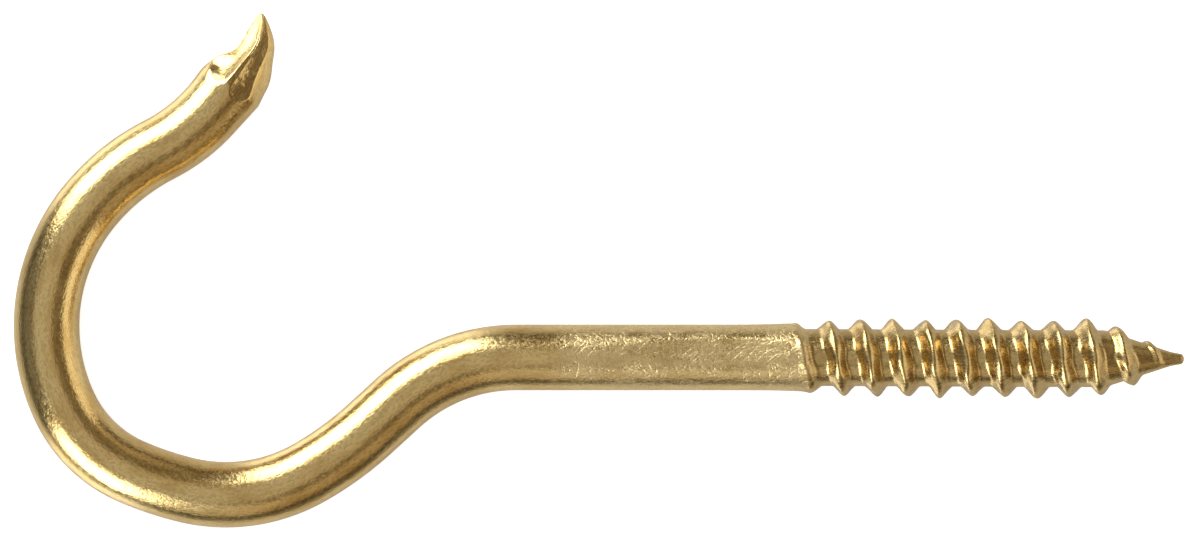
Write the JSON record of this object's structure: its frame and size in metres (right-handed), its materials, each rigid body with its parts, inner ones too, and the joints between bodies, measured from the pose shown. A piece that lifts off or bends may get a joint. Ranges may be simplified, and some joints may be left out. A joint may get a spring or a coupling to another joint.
{
  "type": "cup hook",
  "caption": "Screw-in hook bent from one brass wire: open round bow with a pinched, turned-up tip, S-bend, straight shank and rolled wood thread.",
  "frame": {"origin": "on the shank's axis, where the full wire ends and the rolled thread begins", "axes": "+X along the shank's axis towards the screw point, +Y across the hook's plane towards the mouth of the bow, +Z square to that plane, up from the surface the hook lies on"},
  "size_m": [0.08, 0.035, 0.0052],
  "materials": {
    "brass": "bright drawn brass wire, lightly scuffed, with tool marks on the shank"
  },
  "bodies": {
    "root": {"hook": "brass"}
  },
  "joints": []
}
